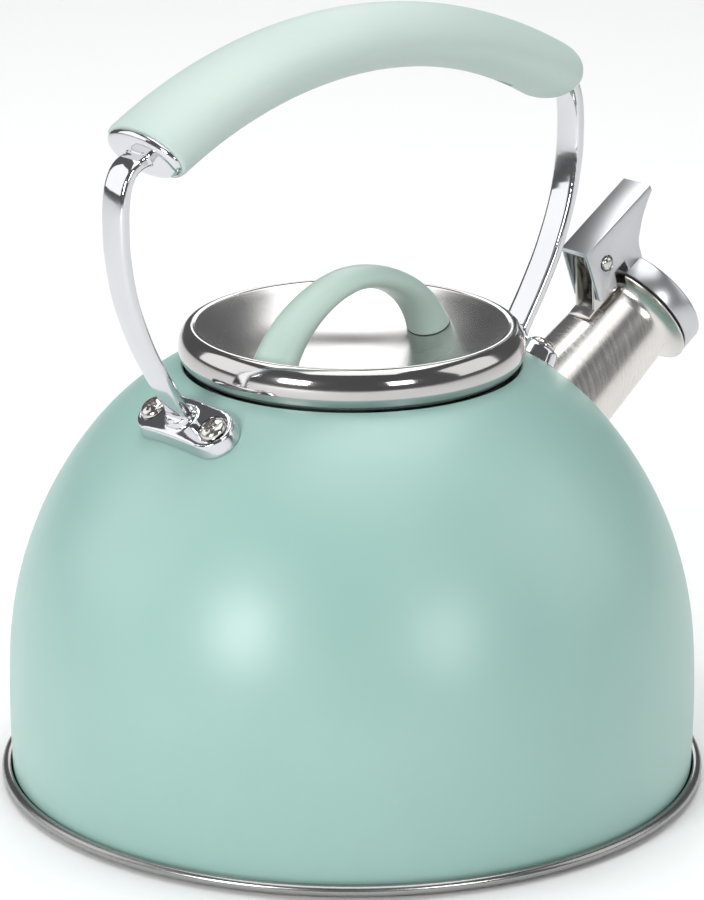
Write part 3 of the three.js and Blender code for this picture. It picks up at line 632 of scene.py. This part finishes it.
bracketHalf = width / 2 - whistleShape["wall"] - 0.3
floorUp = spoutRadius(128) + 0.3
strip = extrudeOutline("strip", [
    (pivotAt - 15.2, floorUp), (pivotAt, floorUp), (pivotAt, floorUp + 1),
    (pivotAt - 14.2, floorUp + 1), (pivotAt - 15.2, floorUp + 0.6)], 2 * bracketHalf)
earLine = [(pivotAt - 12, floorUp + 0.4)]
for k in range(25):
    angle = math.radians(160 - 7.5 * k)
    earLine.append((pivotAt + 4.6 * math.cos(angle), pivotUp + 4.6 * math.sin(angle)))
earLine.append((pivotAt - 0.2, floorUp + 0.4))
for side in (-1, 1):
    ear = extrudeOutline("ear", earLine, 1, side * (bracketHalf - 0.5))
    cutWith(strip, ear, "UNION")
cutWith(strip, addRod(2.3, (pivotAt, -15, pivotUp), (pivotAt, 15, pivotUp)))
tidyFaces(strip)
applyModifier(strip, "BEVEL", width=0.2 * mm, segments=2, limit_method="ANGLE",
              angle_limit=math.radians(50))
onSpout(strip)
shade(strip, 35)
finishPiece(strip, "whistleBracket", "kettle", "brushed_steel", brightSteel, "whistle_bracket")

half = width / 2
pinLine = [(0, -half - 0.9), (0.9, -half - 0.86), (1.6, -half - 0.7), (2.05, -half - 0.4),
           (2.2, -half - 0.1), (2.2, half + 0.1), (2.05, half + 0.4), (1.6, half + 0.7),
           (0.9, half + 0.86), (0, half + 0.9)]
pin = turnProfile("pivotPin", pinLine, 48)
pin.rotation_euler = (quarter, 0, 0)
pin.location = (pivotAt * mm, 0, pivotUp * mm)
settle(pin)
onSpout(pin)
shade(pin, 60)
finishPiece(pin, "pivotPin", "kettle", "bright_steel", brightSteel, "pivot_pin")

outerDisc, innerDisc = front - 3.2, front - 4.6
plug, plugEnd, discRadius = neck - wall - 0.9, lipAt - 2, capRadius - 2.5
discPieces = {
    "whistleOuterDisc": ("whistle_outer_disc", [
        (1.6, outerDisc), (discRadius, outerDisc), (discRadius, outerDisc + 0.9),
        (6, outerDisc + 0.9), (5, outerDisc + 0.7), (2.2, outerDisc + 0.75), (1.6, outerDisc + 0.6)]),
    "whistleInnerDisc": ("whistle_inner_disc", [
        (1.6, plugEnd), (plug - 1, plugEnd), (plug - 0.3, plugEnd + 0.3), (plug, plugEnd + 1),
        (plug, innerDisc), (discRadius, innerDisc), (discRadius, innerDisc + 0.9),
        (plug - 0.9, innerDisc + 0.9), (plug - 0.9, plugEnd + 0.9), (1.6, plugEnd + 0.9)]),
}
for name, (node, profile) in discPieces.items():
    piece = turnProfile(name, profile, 96, closed=True)
    onSpout(piece, lathe=True)
    shade(piece, 30)
    finishPiece(piece, name, "whistle", "brushed_steel", brightSteel, node)
print("whistle done")


# carrying handle

gripShape = {
    "radius": 158.5, "halfSpan": 79.8, "endZ": 212.3, "width": 34.4, "height": 19.2,
    "wall": 3.6, "screwBack": 16.0,
}
gripRadius = gripShape["radius"]
gripCentreZ = gripShape["endZ"] - math.sqrt(gripRadius ** 2 - gripShape["halfSpan"] ** 2)
gripEnd = math.asin(gripShape["halfSpan"] / gripRadius)


def onGrip(angle, radius=gripRadius):
    return (radius * math.sin(angle), 0, gripCentreZ + radius * math.cos(angle))


def gripStations(angles, scales=None):
    stations = []
    for k, angle in enumerate(angles):
        x, _, z = onGrip(angle)
        scale = scales[k] if scales else 1
        stations.append((x, z, -angle, scale, scale))
    return stations


def spaced(start, end, steps):
    return [start + (end - start) * k / steps for k in range(steps + 1)]


# the sleeve's last fractions of a millimetre are eased over
easedEnd = [(-gripEnd, 0.955), (-gripEnd + 0.0022, 0.982), (-gripEnd + 0.006, 0.995)]
gripAngles = [angle for angle, _ in easedEnd] + spaced(-gripEnd + 0.012, gripEnd - 0.012, 60)
gripAngles += [-angle for angle, _ in easedEnd[::-1]]
gripScales = [scale for _, scale in easedEnd] + [1] * 61 + [scale for _, scale in easedEnd[::-1]]
grip = sweepSection(roundSection(gripShape["width"], gripShape["height"], 56),
                    gripStations(gripAngles, gripScales))
for side in (-1, 1):
    depth = 27 / gripRadius
    inside = gripStations(spaced(side * (gripEnd - depth), side * (gripEnd + 0.01), 8))
    if side < 0:
        inside = inside[::-1]
    socket = roundSection(gripShape["width"] - 7.2, gripShape["height"] - 7.2, 40)
    cutWith(grip, sweepSection(socket, inside))
    screwAngle = side * (gripEnd - gripShape["screwBack"] / gripRadius)
    underside = gripRadius - gripShape["height"] / 2
    cutWith(grip, addRod(2.3, onGrip(screwAngle, gripRadius - 12), onGrip(screwAngle)))
    cutWith(grip, addRod(3.6, onGrip(screwAngle, gripRadius - 12), onGrip(screwAngle, underside + 2.2)))
shade(grip, 40)
finishPiece(grip, "gripSleeve", "kettle", "mint_soft_grip", mintGrip, "grip_sleeve")

armShape = {
    "width": 10.1, "thick": 4.0, "bulge": 91.2, "foot": 64.8, "footLength": 41.5,
    "footWidth": 17.0, "footThick": 4.6, "pitch": 28.0,
}
outline = bodyLine()
k = next(i for i in range(len(outline)) if outline[i][0] < armShape["foot"])
(xa, za), (xb, zb) = outline[k - 1], outline[k]
share = (xa - armShape["foot"]) / (xa - xb)
footZ = za + share * (zb - za)
footTilt = math.atan2(xa - xb, zb - za)


def ontoFoot(piece):
    # from a frame with Z along the body's outward direction
    piece.rotation_euler = (0, quarter - footTilt, 0)
    piece.location = (armShape["foot"] * mm, 0, footZ * mm)
    settle(piece)
    return piece


bulge, gripEndZ = armShape["bulge"], gripShape["endZ"]
armLine = smoothLine([
    (armShape["foot"] + 1.2, footZ + 0.4), (armShape["foot"] + 3.4, footZ + 4.8),
    (armShape["foot"] + 7.1, footZ + 10.6), (armShape["foot"] + 11.8, footZ + 18.2),
    (bulge - 8.6, footZ + 29.3), (bulge - 3.2, footZ + 43.4), (bulge - 0.5, footZ + 57.3),
    (bulge, gripEndZ - 21), (bulge - 0.2, gripEndZ - 14), (bulge - 1.2, gripEndZ - 8.4),
    (bulge - 3.6, gripEndZ - 4), (bulge - 7.4, gripEndZ - 1.9),
    (gripShape["halfSpan"], gripEndZ - 1.4)], 5)
bar = sweepSection(crownedSection(armShape["width"], armShape["thick"], 0.8, 0.35), headed(armLine))

# foot: a lozenge with sloping sides and a saddle under the bar
footSpec = [(armShape["footLength"], armShape["footWidth"], -4, armShape["footThick"] + 1.2, 1.6),
            (16, armShape["footWidth"] - 3, -4, 7.4, 3.2)]
footParts = []
for length, broad, low, high, slope in footSpec:
    clearSelection()
    bpy.ops.mesh.primitive_circle_add(vertices=64, radius=broad / 2 * mm, fill_type="NGON",
                                      location=(0, 0, low * mm))
    part = bpy.context.object
    settle(part)
    for side in (-1, 1):
        editAll(part)
        bpy.ops.mesh.select_all(action="DESELECT")
        bpy.ops.object.mode_set(mode="OBJECT")
        for vertex in part.data.vertices:
            vertex.select = vertex.co.y * side > 0.01 * mm
        bpy.ops.object.mode_set(mode="EDIT")
        bpy.ops.transform.translate(value=(0, side * (length - broad) / 2 * mm, 0))
    editAll(part)
    bpy.ops.mesh.extrude_region_move(TRANSFORM_OT_translate={"value": (0, 0, (high - low) * mm)})
    shrink = (broad - 2 * slope) / broad
    bpy.ops.transform.resize(value=(shrink, (length - 2 * slope) / length, 1),
                             center_override=(0, 0, high * mm))
    tidyFaces(part)
    footParts.append(ontoFoot(part))
band = turnProfile("band", bodyLine(armShape["footThick"]) + bodyLine(-3)[::-1], 128, closed=True)
cutWith(footParts[0], band, "INTERSECT")
band = turnProfile("band", bodyLine(armShape["footThick"] + 2) + bodyLine(-2)[::-1], 128, closed=True)
cutWith(footParts[1], band, "INTERSECT")

capRise = [(-2.2, 0.9), (0.35, 1.0), (0.9, 0.99), (1.4, 0.965), (1.85, 0.92), (2.2, 0.84),
           (2.4, 0.72), (2.52, 0.5), (2.56, 0.2)]
capSection = roundSection(gripShape["width"] - 2.2, gripShape["height"] - 2.2, 56)
capStations = []
for along, scale in capRise:
    x, _, z = onGrip(gripEnd)
    capStations.append((x + along * math.cos(gripEnd), z - along * math.sin(gripEnd),
                        -gripEnd, scale, scale))
endDome = sweepSection(capSection, capStations)
arm = joinAll([bar, *footParts, endDome])
applyModifier(arm, "REMESH", mode="VOXEL", voxel_size=0.42 * mm, use_smooth_shade=True)
applyModifier(arm, "SMOOTH", factor=0.5, iterations=10)
cutWith(arm, bodyFill("fillCut", 0.3))
tangStations = gripStations(spaced(gripEnd - 26 / gripRadius, gripEnd + 1 / gripRadius, 8))
tang = sweepSection(roundSection(gripShape["width"] - 7.8, gripShape["height"] - 7.8, 40), tangStations)
cutWith(arm, tang, "UNION")
screwAngle = gripEnd - gripShape["screwBack"] / gripRadius
cutWith(arm, addRod(2.3, onGrip(screwAngle, gripRadius - 12), onGrip(screwAngle, gripRadius + 2.6)))
footFall = (armShape["pitch"] / 2) ** 2 * math.cos(footTilt) / (2 * armShape["foot"])
recess = armShape["footThick"] - footFall - 0.8
for end in (-1, 1):
    y = end * armShape["pitch"] / 2
    cutWith(arm, ontoFoot(addRod(4.9, (0, y, recess), (0, y, recess + 9))))
    cutWith(arm, ontoFoot(addRod(2.3, (0, y, -12), (0, y, 12))))
shade(arm, 50)
backArm = copyPiece(arm, "backArm")
backArm.rotation_euler = (0, 0, math.pi)
settle(backArm)
finishPiece(arm, "frontArm", "kettle", "arm_chrome", armChrome, "front_arm")
finishPiece(backArm, "backArm", "kettle", "arm_chrome", armChrome, "back_arm")
print("arms done")

# foot screws: pan heads with a cross recess
lift = recess + 0.3
headLine = [(0, -6.2), (1.7, -6.2), (2, -5.9), (2, lift), (4.0, lift), (4.25, lift + 0.15),
            (4.3, lift + 0.6), (4.1, lift + 1.1), (3.5, lift + 1.7), (2.6, lift + 2.15),
            (1.4, lift + 2.35), (0, lift + 2.4)]
screw = turnProfile("footScrew", headLine, 56)
for slotTurn in (0.3, 0.3 + quarter):
    cutWith(screw, addSlab((1.1, 4.8, 2.6), (0, 0, lift + 2.3), (0, 0, slotTurn)))
cutWith(screw, addRod(1.25, (0, 0, lift + 0.9), (0, 0, lift + 4), 24))
applyModifier(screw, "BEVEL", width=0.12 * mm, segments=2, limit_method="ANGLE",
              angle_limit=math.radians(50))
shade(screw, 40)
for side, armName in ((1, "front"), (-1, "back")):
    for end, label in ((-1, "near"), (1, "far")):
        twin = copyPiece(screw, armName + label.title() + "Screw")
        twin.location = (0, end * armShape["pitch"] / 2 * mm, 0)
        settle(twin)
        ontoFoot(twin)
        if side < 0:
            twin.rotation_euler = (0, 0, math.pi)
            settle(twin)
        finishPiece(twin, twin.name, "kettle", "bright_steel", brightSteel,
                    f"{armName}_foot_screw_{label}")
removePiece(screw)
print("screws done")


# spring

springShape = {"coil": 2.95, "wire": 0.35, "turns": 3.25, "half": 2.1}


def springLine():
    coil, wire, reach = springShape["coil"], springShape["wire"], springShape["half"]
    start, end = math.radians(-40), math.radians(50 + 360 * 3)
    foot = floorUp + 1 + 0.3 + wire - pivotUp
    head = top - 1.4 - 0.3 - wire - pivotUp
    line = []
    run = (foot - coil * math.sin(start)) / math.cos(start)
    for share in (1, 0.66, 0.33, 0.08):
        line.append((coil * math.cos(start) - math.sin(start) * run * share, -reach,
                     coil * math.sin(start) + math.cos(start) * run * share))
    for k in range(121):
        angle = start + (end - start) * k / 120
        line.append((coil * math.cos(angle), -reach + 2 * reach * k / 120, coil * math.sin(angle)))
    run = (head - coil * math.sin(end)) / math.cos(end)
    for share in (0.08, 0.33, 0.66, 1):
        line.append((coil * math.cos(end) - math.sin(end) * run * share, reach,
                     coil * math.sin(end) + math.cos(end) * run * share))
    return [alongSpout(x + pivotAt, z + pivotUp, y) for x, y, z in line]


clearSelection()
bpy.ops.curve.primitive_nurbs_path_add()
spring = bpy.context.object
spring.data.splines.clear()
spline = spring.data.splines.new("POLY")
wireLine = springLine()
spline.points.add(len(wireLine) - 1)
for point, place in zip(spline.points, wireLine):
    point.co = (*(Vector(place) * mm), 1)
spring.data.bevel_depth = springShape["wire"] * mm
spring.data.bevel_resolution = 3
spring.data.use_fill_caps = True
pick(spring)
bpy.ops.object.convert(target="MESH")
tidyFaces(spring)
shade(spring, 60)
spring.name = "whistleSpring"
spring.data.materials.clear()
spring.data.materials.append(wireSteel)
pivotPoint = Vector(alongSpout(pivotAt, pivotUp)) * mm
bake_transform(spring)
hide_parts("torsion_spring")
print("spring done")


# finishes on the frame's own nodes

nodeFinishes = {
    "lid_screw_left": brightSteel, "lid_screw_right": brightSteel,
    "lid_washer_left": rubber, "lid_washer_right": rubber,
    "grip_screw_back": brightSteel, "grip_screw_front": brightSteel,
    "back_gasket": rubber, "front_gasket": rubber,
    "back_backing_plate": innerSteel, "front_backing_plate": innerSteel,
}
for name, material in nodeFinishes.items():
    for holder in nodes[name].material_slots:
        holder.material = material


# studio

studio = {
    "viewTurn": math.radians(41), "distance": 1.4293, "height": 0.5626,
    "pitch": math.radians(17.78), "lens": 194.5,
}
turn = studio["viewTurn"]
toCamera = Vector((-math.sin(turn), -math.cos(turn), 0))
toRight = Vector((math.cos(turn), -math.sin(turn), 0))

clearSelection()
bpy.ops.object.camera_add(location=toCamera * studio["distance"] + Vector((0, 0, studio["height"])),
                          rotation=(quarter - studio["pitch"], 0, -turn))
camera = bpy.context.object
camera.data.lens = studio["lens"]
camera.data.sensor_width = 36
camera.data.clip_end = 50
bpy.context.scene.camera = camera


def addLight(name, across, up, distance, size, power, aim=(0, 0, 0.11)):
    # across is the angle from the camera's side, positive to its right
    a, e = math.radians(across), math.radians(up)
    place = (toCamera * math.cos(a) + toRight * math.sin(a)) * math.cos(e) + Vector((0, 0, math.sin(e)))
    place = place * distance + Vector(aim)
    bpy.ops.object.light_add(type="AREA", location=place)
    light = bpy.context.object
    light.name = name
    light.data.shape = "RECTANGLE"
    light.data.size = size
    light.data.size_y = size
    light.data.energy = power
    light.rotation_euler = (Vector(aim) - place).to_track_quat("-Z", "Y").to_euler()
    return light


addLight("leftBox", -38, 18, 1.6, 0.48, 12)
addLight("rightBox", 32, 18, 1.6, 0.42, 5.5)
addLight("leftPanel", -98, 24, 1.9, 1.4, 8)
addLight("rightPanel", 92, 24, 1.9, 1.3, 6)
addLight("topBox", 0, 84, 1.5, 1.3, 9)
addLight("backBox", 180, 26, 2.2, 0.7, 4)
addLight("floorWash", 0, 89, 1.8, 1.6, 20, aim=tuple(-0.75 * toCamera))

clearSelection()
bpy.ops.mesh.primitive_plane_add(size=30)
floor = bpy.context.object
floor.name = "floor"
floorFinish = Finish("floorPaper", Roughness=0.9)
paper = floorFinish.noise(3, 2)
floorFinish.feed("Base Color", floorFinish.blendColours(paper, (0.9, 0.9, 0.9), (0.92, 0.92, 0.92)))
floor.data.materials.append(floorFinish.material)

world = bpy.data.worlds.new("studioAir")
bpy.context.scene.world = world
world.use_nodes = True
world.node_tree.nodes["Background"].inputs["Color"].default_value = (0.95, 0.97, 1.0, 1)
world.node_tree.nodes["Background"].inputs["Strength"].default_value = 0.13
bpy.context.scene.view_settings.view_transform = "Standard"
print("studio ready")
